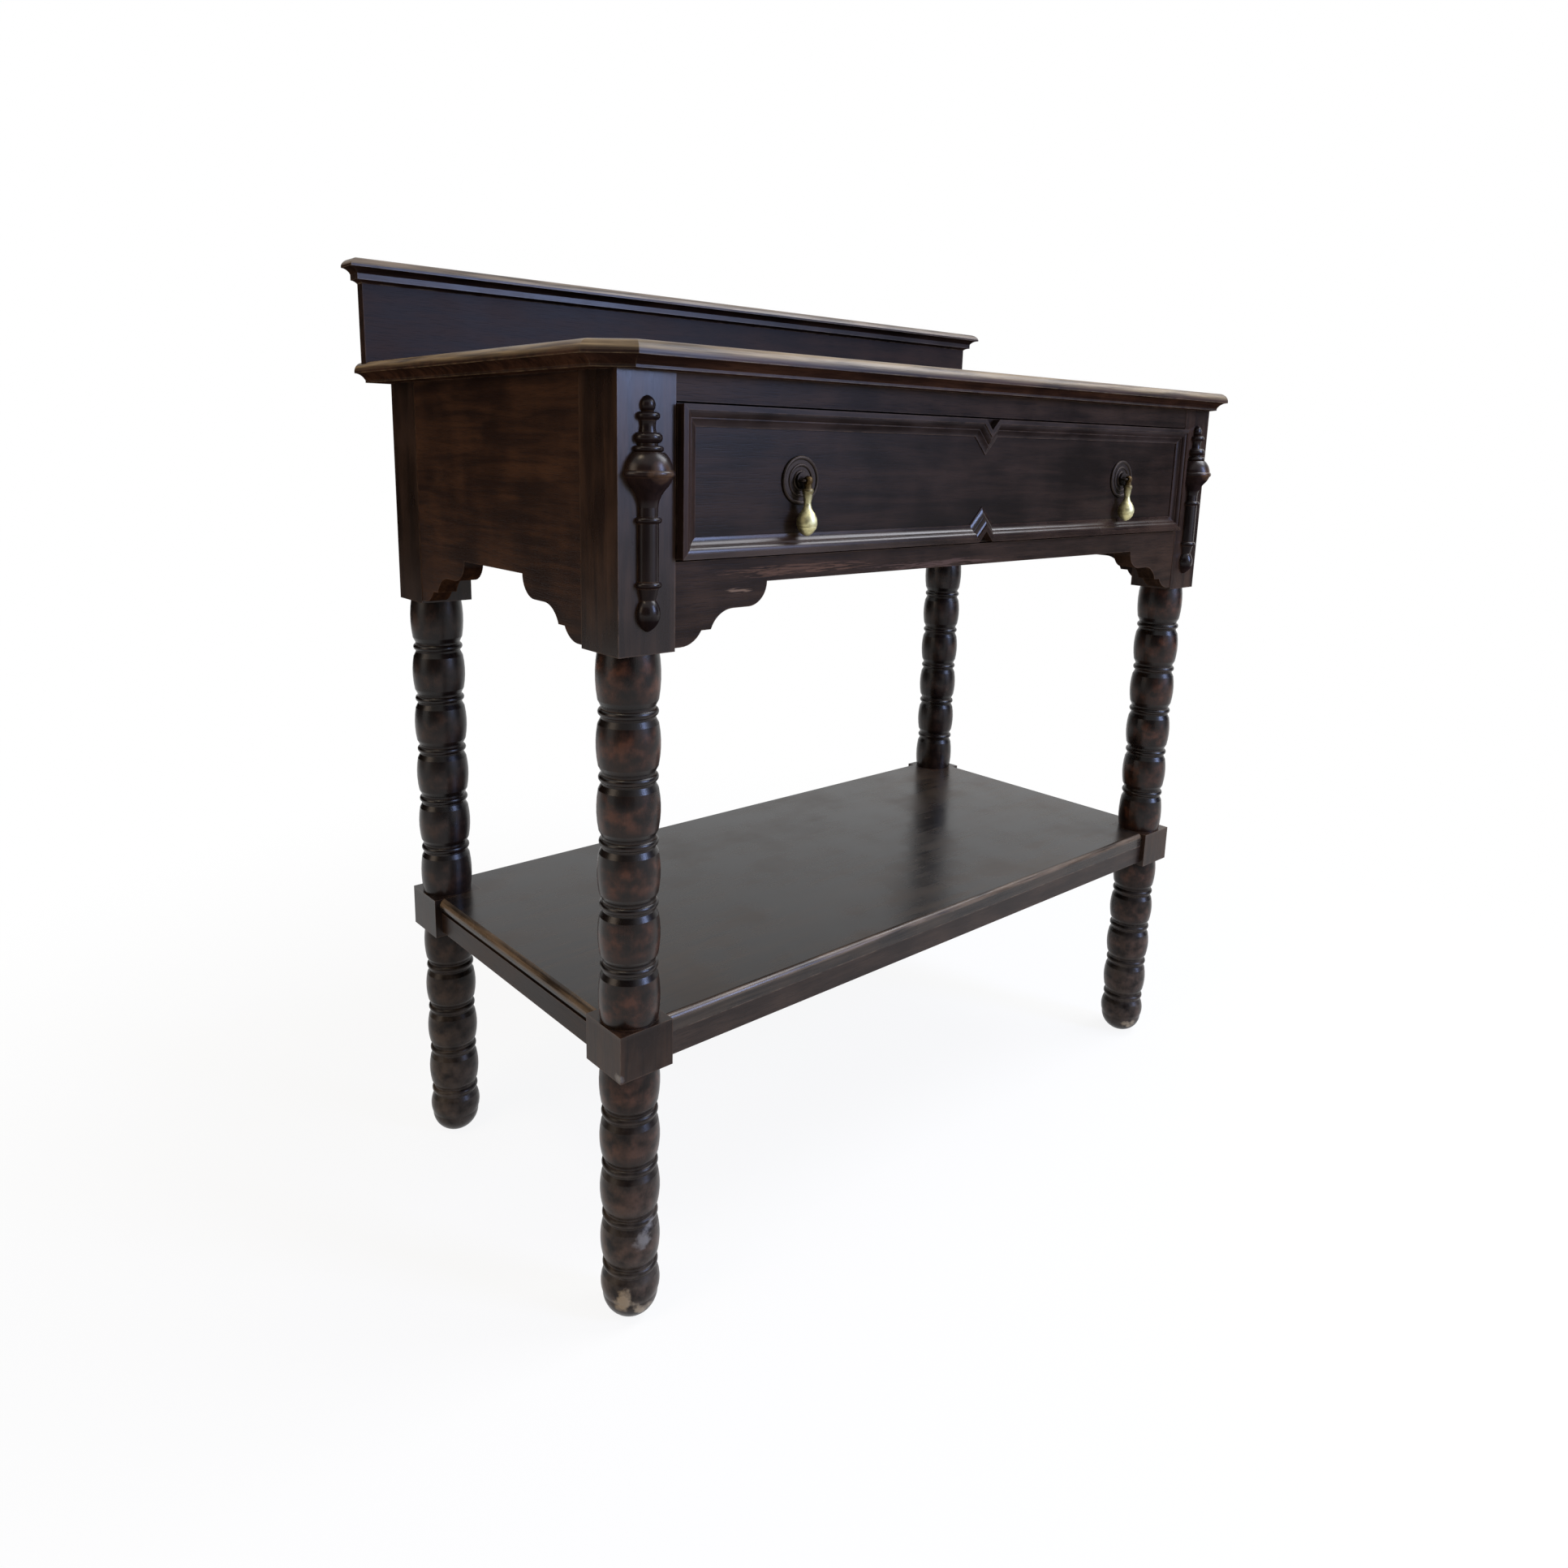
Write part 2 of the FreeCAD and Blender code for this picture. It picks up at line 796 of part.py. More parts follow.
# Handles: dished round plate, wire staple on a shank, pear drop and nut
handle_x = -drawer_half + handle_inset
handle_z = (front_bottom + front_top) / 2 + handle_rise
pivot_y = rail_y - pivot_standoff
plate_r = plate_diameter / 2
boss_r = plate_boss_diameter / 2
wire_r = wire_diameter / 2
shank_r = shank_diameter / 2
bore_r = shank_r + shank_gap
bar_reach = head_width / 2 + head_gap
staple_reach = bar_reach + wire_bend
staple_foot_r = staple_reach + wire_r + staple_foot_margin


def on_plate(shape):
    """Turns work about Z into work about the line out of the drawer front at a handle."""
    shape.rotate(V(0, 0, 0), V(1, 0, 0), 90)
    shape.translate(V(handle_x, rail_y, handle_z))
    return shape


rim_inner = plate_r - plate_rim_width
ring_middle = plate_ring_diameter / 2
ring_outer = ring_middle + plate_ring_width / 2
ring_inner = ring_middle - plate_ring_width / 2
plate = spun(
    (bore_r, 0.0),
    [
        ((plate_r, 0.0),),
        ((plate_r, plate_edge),),
        ((plate_r - plate_rim_width / 2, plate_rim_height), (rim_inner, plate_dish_height)),
        ((ring_outer, plate_dish_height),),
        ((ring_middle, plate_ring_height), (ring_inner, plate_dish_height)),
        ((boss_r, plate_dish_height),),
        (
            flat_arc((staple_foot_r, plate_boss_height), (boss_r, plate_dish_height)),
            (staple_foot_r, plate_boss_height),
        ),
        ((bore_r, plate_boss_height),),
    ],
    0.0,
    0.0,
)
handle_plate_left = on_plate(plate)

shank_length = front_thickness + nut_height + shank_tail
staple = turned(
    [(shank_length + plate_boss_height, shank_r, shank_r), (wire_diameter, staple_foot_r, staple_foot_r)],
    -shank_length,
    0.0,
    0.0,
)
post_top = pivot_standoff - wire_bend
for side in (-1, 1):
    foot = V(side * staple_reach, 0, plate_boss_height)
    staple = staple.fuse(Part.makeCylinder(wire_r, post_top - plate_boss_height, foot))
    ring = Part.Wire(Part.Circle(V(side * staple_reach, 0, post_top), V(0, 0, 1), wire_r).toShape())
    corner = Part.Face(ring).revolve(V(side * bar_reach, 0, post_top), V(0, -side, 0), 90)
    staple = staple.fuse(corner)
bar = Part.makeCylinder(wire_r, 2 * bar_reach, V(-bar_reach, 0, pivot_standoff), V(1, 0, 0))
handle_staple_left = on_plate(staple.fuse(bar).removeSplitter())

shank_bore = Part.makeCylinder(bore_r, front_thickness + nut_height, V(0, 0, -front_thickness - nut_height))
nut_corner = V(-nut_width / 2, -nut_width / 2, -front_thickness - nut_height)
nut = Part.makeBox(nut_width, nut_width, nut_height, nut_corner).cut(shank_bore)
handle_nut_left = on_plate(nut)
shank_hole = on_plate(shank_bore)
drawer_front = drawer_front.cut(shank_hole).cut(mirror_x(shank_hole))

head_r = head_diameter / 2
pivot_bore_r = wire_r + pivot_gap
head_end_r = math.sqrt(head_r**2 - (head_width / 2) ** 2)
head_wall = head_r - pivot_bore_r
neck_r = drop_neck_diameter / 2
link_r = link_diameter / 2
pear_r = pear_diameter / 2
pear_shoulder_r = pear_shoulder_diameter / 2
pear_tip_r = pear_tip_diameter / 2
neck_top_r = drop_neck_top_diameter / 2
base_arc = ((pear_r - pear_tip_r) ** 2 + pear_base_height**2) / (2 * (pear_r - pear_tip_r))


def pear_at(below):
    """Radius of the pear at a depth below its widest part."""
    return pear_r - base_arc + math.sqrt(base_arc**2 - below**2)


score_high = score_drop - score_width / 2
score_low = score_drop + score_width / 2
drop_members = [
    (
        pear_base_height - score_low,
        pear_tip_r,
        pear_at((pear_base_height + score_low) / 2),
        pear_at(score_low),
    ),
    (score_width, pear_at(score_low), pear_at(score_drop) - score_depth, pear_at(score_high)),
    (score_high, pear_at(score_high), pear_at(score_high / 2), pear_r),
    (pear_swell_height, pear_r, upright_arc(pear_swell_height, pear_r, pear_shoulder_r), pear_shoulder_r),
    (pear_shoulder_height, pear_shoulder_r, upright_arc(pear_shoulder_height, neck_r, pear_shoulder_r), neck_r),
    (drop_neck_height, neck_r, neck_top_r),
    (bead_height, neck_top_r, bead_diameter / 2, neck_top_r),
    (link_height + head_wall / 2, link_r, link_r),
]
drop_length = sum(member[0] for member in drop_members)
link_top = handle_z - pivot_bore_r - head_wall / 2
drop = turned(drop_members, link_top - drop_length, handle_x, pivot_y)
head = spun(
    (pivot_bore_r, -head_width / 2),
    [
        ((head_end_r, -head_width / 2),),
        ((head_r, 0.0), (head_end_r, head_width / 2)),
        ((pivot_bore_r, head_width / 2),),
    ],
    0.0,
    0.0,
)
head.rotate(V(0, 0, 0), V(0, 1, 0), 90)
head.translate(V(handle_x, pivot_y, handle_z))
handle_drop_left = drop.fuse(head).removeSplitter()

# Pieces
export("leg_front_left", leg_front_left)
export("leg_front_right", mirror_x(leg_front_left))
export("leg_back_left", leg_back_left)
export("leg_back_right", mirror_x(leg_back_left))
export("side_panel_left", side_panel)
export("side_panel_right", mirror_x(side_panel))
export("back_panel", back_panel)
export("front_top_rail", front_top_rail)
export("front_apron", front_apron)
export("shelf_board", shelf_board)
export("shelf_rail_front", shelf_rail_front)
export("shelf_rail_back", mirror_y(shelf_rail_front))
export("shelf_rail_left", shelf_rail_left)
export("shelf_rail_right", mirror_x(shelf_rail_left))
export("top_board", top_board)
export("gallery_board", gallery_board)
export("gallery_cap", gallery_cap)
export("split_turning_left", split_turning_left)
export("split_turning_right", mirror_x(split_turning_left))
export("drawer_runner_left", drawer_runner_left)
export("drawer_runner_right", mirror_x(drawer_runner_left))
export("drawer_guide_left", drawer_guide_left)
export("drawer_guide_right", mirror_x(drawer_guide_left))
export("kicker_left", kicker_left)
export("kicker_right", mirror_x(kicker_left))
export("drawer_stops", Part.makeCompound([stop_left, mirror_x(stop_left)]))
export("drawer_front", drawer_front)
export("drawer_side_left", drawer_side_left)
export("drawer_side_right", drawer_side_right)
export("drawer_back", drawer_back)
export("drawer_bottom", drawer_bottom)
export("drawer_moulding_top", drawer_moulding_top)
export("drawer_moulding_bottom", drawer_moulding_bottom)
export("drawer_moulding_left", drawer_moulding_left)
export("drawer_moulding_right", drawer_moulding_right)
export("handle_plate_left", handle_plate_left)
export("handle_plate_right", mirror_x(handle_plate_left))
export("handle_staple_left", handle_staple_left)
export("handle_staple_right", mirror_x(handle_staple_left))
export("handle_drop_left", handle_drop_left)
export("handle_drop_right", mirror_x(handle_drop_left))
export("handle_nuts", Part.makeCompound([handle_nut_left, mirror_x(handle_nut_left)]))
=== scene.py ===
import math

import bpy
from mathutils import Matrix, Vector


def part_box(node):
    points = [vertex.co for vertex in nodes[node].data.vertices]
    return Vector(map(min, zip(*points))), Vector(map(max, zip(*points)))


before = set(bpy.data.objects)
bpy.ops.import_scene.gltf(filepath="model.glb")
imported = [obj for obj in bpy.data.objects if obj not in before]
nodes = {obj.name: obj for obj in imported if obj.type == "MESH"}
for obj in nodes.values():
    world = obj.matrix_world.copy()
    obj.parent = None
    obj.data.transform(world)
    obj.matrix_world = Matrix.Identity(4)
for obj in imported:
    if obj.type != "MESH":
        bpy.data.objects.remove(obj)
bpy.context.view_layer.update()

scene = bpy.context.scene
scene.view_settings.view_transform = "Standard"

# Metres. X runs left to right, the front faces -Y, Z is up from the floor.
MM = 0.001


def mm(x, y, z):
    """A place, or a reach along X, Y and Z, from millimetres."""
    return Vector((x, y, z)) * MM


# Camera at the photograph's viewpoint, turned by degrees about X, Y and Z
CAMERA_PLACE = (-0.8150, -0.8316, 0.7071)
CAMERA_TURN = (78.213, -1.227, -40.527)
camera = bpy.data.objects.new("camera", bpy.data.cameras.new("camera"))
camera.location = CAMERA_PLACE
camera.rotation_euler = [math.radians(angle) for angle in CAMERA_TURN]
camera.data.sensor_width = 36.0
camera.data.lens = 25.363
camera.data.shift_x = 0.01366
camera.data.shift_y = -0.06809
scene.collection.objects.link(camera)
scene.camera = camera

# Sockets of a colour Mix node go by number, because its names repeat for each type of value
FACTOR = 0
UNDER = 6
OVER = 7
MIXED = 2


def linear(hex_colour):
    """An sRGB hex colour as linear red, green, blue and alpha."""
    channels = [int(hex_colour[i : i + 2], 16) / 255 for i in (1, 3, 5)]
    return [c / 12.92 if c <= 0.04045 else ((c + 0.055) / 1.055) ** 2.4 for c in channels] + [1.0]


def add(tree, kind, links=None, out=0, **settings):
    """A shader node with its settings, and the output asked for; links gives a socket a value or
    another node's output."""
    made = tree.nodes.new("ShaderNode" + kind)
    for setting, value in settings.items():
        setattr(made, setting, value)
    for socket, value in (links or {}).items():
        if isinstance(value, bpy.types.NodeSocket):
            tree.links.new(value, made.inputs[socket])
        else:
            made.inputs[socket].default_value = value
    return made.outputs[out] if made.outputs else None


def bare_material(name):
    """A material with an empty node tree, and the tree."""
    material = bpy.data.materials.new(name)
    material.use_nodes = True
    material.node_tree.nodes.clear()
    return material, material.node_tree


# Sizes of the patterns in the wood
PORE_WIDTH = 0.8 * MM  # oak pores are finer than this, drawn as coarse as the render can show
PORE_LENGTH = 16 * MM
PORE_DEPTH = 0.25 * MM
FIGURE_WIDTH = 9 * MM
FIGURE_LENGTH = 110 * MM
STAIN_PATCH = 60 * MM
RUBBED_PATCH = 11 * MM
EDGE_ROUND = 2.0 * MM
STREAK_WIDTH = 2.5 * MM
STREAK_LENGTH = 60 * MM

# From the frame: the legs' turning, the split turnings' front, the shelf's top and the drops
leg_low, leg_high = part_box("leg_front_left")
LEG_X = -(leg_low.x + leg_high.x) / 2
LEG_Y = -(leg_low.y + leg_high.y) / 2
LEG_HALF = (leg_high.x - leg_low.x) / 2
RIM_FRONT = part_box("split_turning_left")[0].y
SHELF_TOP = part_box("shelf_board")[1].z
drop_low, drop_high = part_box("handle_drop_left")
PEAR_HEIGHT = 20 * MM
PEAR_TOP = drop_low.z + PEAR_HEIGHT
DROP_TOP = drop_high.z

# How deep below a leg's full radius its turned work changes colour
SQUARE_WORK = 0.02 * MM
ROUND_WORK = 0.08 * MM
CROWN_TOP = 0.4 * MM
CROWN_FOOT = 1.9 * MM
GROOVE_LIP = 2.2 * MM
GROOVE_FLOOR = 3.6 * MM

# A hollow within this distance keeps painted shade on a spot of the turned work
RING_REACH = 3 * MM

# Shares: how far old wax blackens turned work, and how much of the polish mops have left on it
OLD_WAX = 0.6
MOPPED = 0.6

# A clear patch of wax is smoother by this share of what a cloudy one is rougher
CLEAR_SHARE = 0.6

# How far behind its front a split turning's rim is rubbed
RIM_CREST = 0.5 * MM
RIM_FOOT = 4.0 * MM

# Heights on the legs: dust is thickest at the foot, and the full polish ends at the shelf
DUSTY_FOOT = 50 * MM
DULL_BELOW = SHELF_TOP - 4 * MM
WAXED_ABOVE = SHELF_TOP + 2 * MM

# How much further a nosing's face tips up from where its wear starts to where it is full
NOSING_RISE = 0.35

# The dark of grime in pores and old wax, also painted as shade into the legs' grooves and onto their upper
# shoulders
GRIME_AND_SHADE = "#0B0706"
FOOT_DUST = "#544A40"


def oak_patterns(tree, place, grain):
    """Fine pores and a broad figure, both drawn out along the grain, a cloudy stain, and the patches
    that hands and cloths have rubbed."""
    along = "XYZ".index(grain)
    stretch = [1.0, 1.0, 1.0]
    stretch[along] = PORE_WIDTH / PORE_LENGTH
    run = add(tree, "Mapping", {"Vector": place, "Scale": stretch})
    pores = add(tree, "TexNoise", {"Vector": run, "Scale": 1 / PORE_WIDTH, "Detail": 2.0})
    stretch[along] = FIGURE_WIDTH / FIGURE_LENGTH
    run = add(tree, "Mapping", {"Vector": place, "Scale": stretch})
    figure = add(
        tree, "TexNoise", {"Vector": run, "Scale": 1 / FIGURE_WIDTH, "Detail": 4.0, "Distortion": 0.6}
    )
    stain = add(tree, "TexNoise", {"Vector": place, "Scale": 1 / STAIN_PATCH, "Detail": 3.0})
    rubbed = add(tree, "TexNoise", {"Vector": place, "Scale": 1 / RUBBED_PATCH, "Detail": 5.0})
    rub = add(tree, "MapRange", {"Value": rubbed, "From Min": 0.3, "From Max": 0.66})
    return pores, figure, stain, rub


def turned_wear(tree, place, lift, rub, colour, crown_red):
    """Turned work as it ages: old black wax, crowns rubbed red and dust towards the feet, with grime
    and painted shade in the grooves and painted shade on the upward-facing shoulders."""
    beside = add(tree, "VectorMath", {0: place}, operation="ABSOLUTE")
    beside = add(tree, "VectorMath", {0: beside, 1: (LEG_X, LEG_Y, 0.0)}, operation="SUBTRACT")
    beside = add(tree, "VectorMath", {0: beside, 1: (1.0, 1.0, 0.0)}, operation="MULTIPLY")
    radius = add(tree, "VectorMath", {0: beside}, "Value", operation="LENGTH")
    depth = add(tree, "Math", {0: LEG_HALF, 1: radius}, operation="SUBTRACT")
    round_work = add(
        tree, "MapRange", {"Value": depth, "From Min": SQUARE_WORK, "From Max": ROUND_WORK}
    )

    black_wax = add(tree, "Math", {0: round_work, 1: OLD_WAX}, operation="MULTIPLY")
    colour = add(
        tree, "Mix", {FACTOR: black_wax, UNDER: colour, OVER: linear(GRIME_AND_SHADE)}, MIXED, data_type="RGBA"
    )

    red = add(tree, "MapRange", {"Value": depth, "From Min": CROWN_FOOT, "From Max": CROWN_TOP})
    for share in (rub, rub, round_work):
        red = add(tree, "Math", {0: red, 1: share}, operation="MULTIPLY")
    colour = add(
        tree, "Mix", {FACTOR: red, UNDER: colour, OVER: linear(crown_red)}, MIXED, data_type="RGBA"
    )

    # Grime with painted shade fills the grooves, ambient occlusion keeps it off the open rings between
    # them, and painted shade lies on the upward-facing shoulders
    groove = add(tree, "MapRange", {"Value": depth, "From Min": GROOVE_LIP, "From Max": GROOVE_FLOOR})
    air = add(tree, "AmbientOcclusion", {"Distance": RING_REACH}, "AO", samples=6)
    ring = add(
        tree, "MapRange", {"Value": air, "From Min": 0.6, "From Max": 0.85, "To Min": 1.0, "To Max": 0.35}
    )
    groove = add(tree, "Math", {0: groove, 1: ring}, operation="MULTIPLY")
    # Painted shade on the upward-facing shoulders, ragged where the wood is rubbed
    shaded_shoulder = add(tree, "Math", {0: rub, 1: -0.3, 2: lift}, operation="MULTIPLY_ADD")
    shaded_shoulder = add(
        tree, "MapRange", {"Value": shaded_shoulder, "From Min": -0.2, "From Max": 0.15, "To Max": 0.75}
    )
    shaded_shoulder = add(tree, "Math", {0: shaded_shoulder, 1: round_work}, operation="MULTIPLY")
    grime_and_shade = add(tree, "Math", {0: groove, 1: shaded_shoulder}, operation="MAXIMUM")
    colour = add(
        tree, "Mix", {FACTOR: grime_and_shade, UNDER: colour, OVER: linear(GRIME_AND_SHADE)}, MIXED, data_type="RGBA"
    )

    height = add(tree, "SeparateXYZ", {"Vector": place}, "Z")
    dusty = add(
        tree, "MapRange", {"Value": height, "From Min": SHELF_TOP, "From Max": DUSTY_FOOT, "To Max": 0.55}
    )
    dusty = add(tree, "Math", {0: dusty, 1: rub}, operation="MULTIPLY")
    return add(
        tree, "Mix", {FACTOR: dusty, UNDER: colour, OVER: linear(FOOT_DUST)}, MIXED, data_type="RGBA"
    )


def rim_wear(tree, place, rub, colour, worn):
    """A split turning's rim, which stands proudest, rubbed to bare brown."""
    front = add(tree, "SeparateXYZ", {"Vector": place}, "Y")
    proud = add(
        tree,
        "MapRange",
        {
            "Value": front,
            "From Min": RIM_FRONT + RIM_FOOT,
            "From Max": RIM_FRONT + RIM_CREST,
            "To Max": 0.7,
        },
    )
    proud = add(tree, "Math", {0: proud, 1: rub}, operation="MULTIPLY")
    return add(tree, "Mix", {FACTOR: proud, UNDER: colour, OVER: linear(worn)}, MIXED, data_type="RGBA")


def edge_wear(tree, normal, rub, wear):
    """How far edges are rubbed: where the surface turns away within the width of a rounded edge."""
    eased = add(tree, "Bevel", {"Radius": EDGE_ROUND}, samples=6)
    turn = add(tree, "VectorMath", {0: normal, 1: eased}, "Value", operation="DOT_PRODUCT")
    edge = add(tree, "MapRange", {"Value": turn, "From Min": 0.99, "From Max": 0.8, "To Max": wear})
    return add(tree, "Math", {0: edge, 1: rub}, operation="MULTIPLY")


def nosing_wear_and_highlight(tree, place, lift, nosing, nosing_foot):
    """How pale a rounded nosing is made in level streaks all along its upper curve: partly rubbed wear,
    partly a painted highlight where the curve faces up.
    """
    rising = add(
        tree,
        "MapRange",
        {"Value": lift, "From Min": nosing_foot, "From Max": nosing_foot + NOSING_RISE, "To Max": nosing},
    )
    below_the_flat = add(tree, "MapRange", {"Value": lift, "From Min": 0.995, "From Max": 0.93})
    level = (STREAK_WIDTH / STREAK_LENGTH, STREAK_WIDTH / STREAK_LENGTH, 1.0)
    run = add(tree, "Mapping", {"Vector": place, "Scale": level})
    streak = add(tree, "TexNoise", {"Vector": run, "Scale": 1 / STREAK_WIDTH, "Detail": 3.0})
    streak = add(
        tree, "MapRange", {"Value": streak, "From Min": 0.35, "From Max": 0.62, "To Min": 0.15}
    )
    curve = add(tree, "Math", {0: rising, 1: below_the_flat}, operation="MULTIPLY")
    return add(tree, "Math", {0: curve, 1: streak}, operation="MULTIPLY")


def scuffed(tree, place, ragged_by, colour, scuffs):
    """Marks of use over the colour, each an oval that a pattern makes ragged."""
    for spot, reach, pale in scuffs.values():
        away = add(tree, "VectorMath", {0: place, 1: spot}, operation="SUBTRACT")
        away = add(tree, "VectorMath", {0: away, 1: reach}, operation="DIVIDE")
        away = add(tree, "VectorMath", {0: away}, "Value", operation="LENGTH")
        ragged = add(tree, "Math", {0: ragged_by, 1: -0.8, 2: away}, operation="MULTIPLY_ADD")
        mark = add(tree, "MapRange", {"Value": ragged, "From Min": 0.3, "From Max": -0.1})
        colour = add(
            tree, "Mix", {FACTOR: mark, UNDER: colour, OVER: linear(pale)}, MIXED, data_type="RGBA"
        )
    return colour


def polish(tree, place, lift, gloss, turned):
    """How much wax the wood holds: mops have dulled the legs below the shelf, and elsewhere the
    polishing cloth never reaches the undersides."""
    if turned:
        height = add(tree, "SeparateXYZ", {"Vector": place}, "Z")
        return add(
            tree,
            "MapRange",
            {
                "Value": height,
                "From Min": DULL_BELOW,
                "From Max": WAXED_ABOVE,
                "To Min": MOPPED * gloss,
                "To Max": gloss,
            },
        )
    return add(tree, "MapRange", {"Value": lift, "From Min": -0.35, "From Max": -0.05, "To Max": gloss})


def stained_oak(
    name,
    grain,
    tone,
    flame,
    worn="#6B5340",
    wear=0.5,
    nosing=0.0,
    nosing_foot=0.15,
    roughness=0.36,
    cloudy=0.05,
    gloss=0.1,
    pores_open=0.4,
    turned=False,
    crown_red="#482B1D",
    split=False,
    scuffs=None,
):
    """Planed or turned oak, mostly stained dark and waxed: long grain and open pores under a soft
    shine, blackened in the pores by grime and in turned grooves by grime and painted shade, and rubbed
    through to browner wood where hands and feet touch it.
    The grain runs along an axis, tone and flame are its dark and light, and worn is what rubbing bares and
    what a nosing's painted highlight shows."""
    material, tree = bare_material(name)
    place = add(tree, "TexCoord", out="Object")
    normal = add(tree, "NewGeometry", out="Normal")
    lift = add(tree, "SeparateXYZ", {"Vector": normal}, "Z")
    pores, figure, stain, rub = oak_patterns(tree, place, grain)

    blend = add(tree, "Math", {0: figure, 1: stain}, operation="ADD")
    blend = add(
        tree,
        "MapRange",
        {"Value": blend, "From Min": 0.75, "From Max": 1.3},
        interpolation_type="SMOOTHSTEP",
    )
    colour = add(
        tree, "Mix", {FACTOR: blend, UNDER: linear(tone), OVER: linear(flame)}, MIXED, data_type="RGBA"
    )
    pits = add(tree, "MapRange", {"Value": pores, "From Min": 0.52, "From Max": 0.68})
    pits = add(tree, "Math", {0: pits, 1: pores_open}, operation="MULTIPLY")
    colour = add(
        tree, "Mix", {FACTOR: pits, UNDER: colour, OVER: linear(GRIME_AND_SHADE)}, MIXED, data_type="RGBA"
    )

    if turned:
        colour = turned_wear(tree, place, lift, rub, colour, crown_red)
    if split:
        colour = rim_wear(tree, place, rub, colour, worn)
    paled = edge_wear(tree, normal, rub, wear)
    # A nosing's upper curve is paled partly as wear and partly as a painted highlight
    if nosing:
        curve = nosing_wear_and_highlight(tree, place, lift, nosing, nosing_foot)
        paled = add(tree, "Math", {0: paled, 1: curve}, operation="MAXIMUM")
    colour = add(
        tree, "Mix", {FACTOR: paled, UNDER: colour, OVER: linear(worn)}, MIXED, data_type="RGBA"
    )
    if scuffs:
        scratch = add(tree, "MapRange", {"Value": pores, "From Min": 0.42, "From Max": 0.58})
        colour = scuffed(tree, place, rub if turned else scratch, colour, scuffs)

    haze = add(tree, "Math", {0: figure, 1: 0.4, 2: stain}, operation="MULTIPLY_ADD")
    sheen = add(
        tree,
        "MapRange",
        {
            "Value": haze,
            "From Min": 0.5,
            "From Max": 0.9,
            "To Min": roughness - CLEAR_SHARE * cloudy,
            "To Max": roughness + cloudy,
        },
    )
    relief = add(tree, "Math", {0: pits, 1: -1.0}, operation="MULTIPLY")
    bump = add(tree, "Bump", {"Strength": 0.35, "Distance": PORE_DEPTH, "Height": relief})
    surface = add(
        tree,
        "BsdfPrincipled",
        {
            "Base Color": colour,
            "Roughness": sheen,
            "Normal": bump,
            "IOR": 1.5,
            "Specular IOR Level": polish(tree, place, lift, gloss, turned),
        },
    )
    add(tree, "OutputMaterial", {"Surface": surface})
    return material


# Sizes of the bloom on the brass, and the height above which fingers leave a drop brown
BLOOM_PATCH = 3 * MM
BLOOM_DEPTH = 0.2 * MM
HOLLOW_REACH = 4 * MM
BROWN_ABOVE = DROP_TOP - 6 * MM


def worn_brass(name, bright, tarnish, roughness, handled=False):
    """Cast brass or bronze with a dull bloom: bright on the swells, brown in the hollows."""
    material, tree = bare_material(name)
    place = add(tree, "TexCoord", out="Object")
    cloud = add(tree, "TexNoise", {"Vector": place, "Scale": 1 / BLOOM_PATCH, "Detail": 4.0})
    cavity = add(tree, "AmbientOcclusion", {"Distance": HOLLOW_REACH}, "AO", samples=6)
    clean = add(tree, "MapRange", {"Value": cavity, "From Min": 0.35, "From Max": 0.85})
    patch = add(tree, "MapRange", {"Value": cloud, "From Min": 0.25, "From Max": 0.6, "To Min": 0.5})
    clean = add(tree, "Math", {0: clean, 1: patch}, operation="MULTIPLY")
    if handled:
        # Fingers keep the pear bright and leave the top of the drop brown
        height = add(tree, "SeparateXYZ", {"Vector": place}, "Z")
        grip = add(
            tree,
            "MapRange",
            {"Value": height, "From Min": BROWN_ABOVE, "From Max": PEAR_TOP},
            interpolation_type="SMOOTHSTEP",
        )
        clean = add(tree, "Math", {0: clean, 1: grip}, operation="MULTIPLY")
    colour = add(
        tree,
        "Mix",
        {FACTOR: clean, UNDER: linear(tarnish), OVER: linear(bright)},
        MIXED,
        data_type="RGBA",
    )
    dull = add(
        tree,
        "MapRange",
        {
            "Value": cloud,
            "From Min": 0.3,
            "From Max": 0.7,
            "To Min": roughness - 0.08,
            "To Max": roughness + 0.12,
        },
    )
    bump = add(tree, "Bump", {"Strength": 0.12, "Distance": BLOOM_DEPTH, "Height": cloud})
    surface = add(
        tree,
        "BsdfPrincipled",
        {"Base Color": colour, "Metallic": 1.0, "Roughness": dull, "Normal": bump},
    )
    add(tree, "OutputMaterial", {"Surface": surface})
    return material


# Marks of use: place, reach along X, Y and Z, and the colour that shows
BARE_FOOT = "#8C7C64"
GREY_SCRATCH = "#6C6761"
LEFT_FOOT = Vector((-LEG_X, -LEG_Y, 0.0))
RIGHT_FOOT = Vector((LEG_X, -LEG_Y, 0.0))
LEFT_CORNER = LEFT_FOOT - Vector((LEG_HALF, LEG_HALF, 0.0))
front_leg_scuffs = {
    "left foot, outer side": (LEFT_FOOT + mm(-16, -16, 26), mm(14, 14, 16), BARE_FOOT),
    "left foot, front": (LEFT_FOOT + mm(-4, -22, 12), mm(12, 12, 9), BARE_FOOT),
    "left leg, low scratch": (LEFT_FOOT + mm(-2, -22, 80), mm(12, 12, 10), GREY_SCRATCH),
    "left leg, high scratch": (LEFT_FOOT + mm(4, -22, 90), mm(10, 10, 9), GREY_SCRATCH),
    "right foot, front": (RIGHT_FOOT + mm(-10, -18, 12), mm(12, 12, 10), BARE_FOOT),
    "left block, lower corner": (LEFT_CORNER + mm(0, 4, 231), mm(6, 8, 8), GREY_SCRATCH),
}
apron_scuffs = {
    "left end of the arch": (mm(-225, -188, 613), mm(90, 10, 5), "#553C2C"),
    "left bracket": (mm(-285, -188, 600), mm(14, 10, 2.2), "#6E5744"),
    "middle of the arch": (mm(-60, -188, 609), mm(90, 10, 4), "#4E3A30"),
}

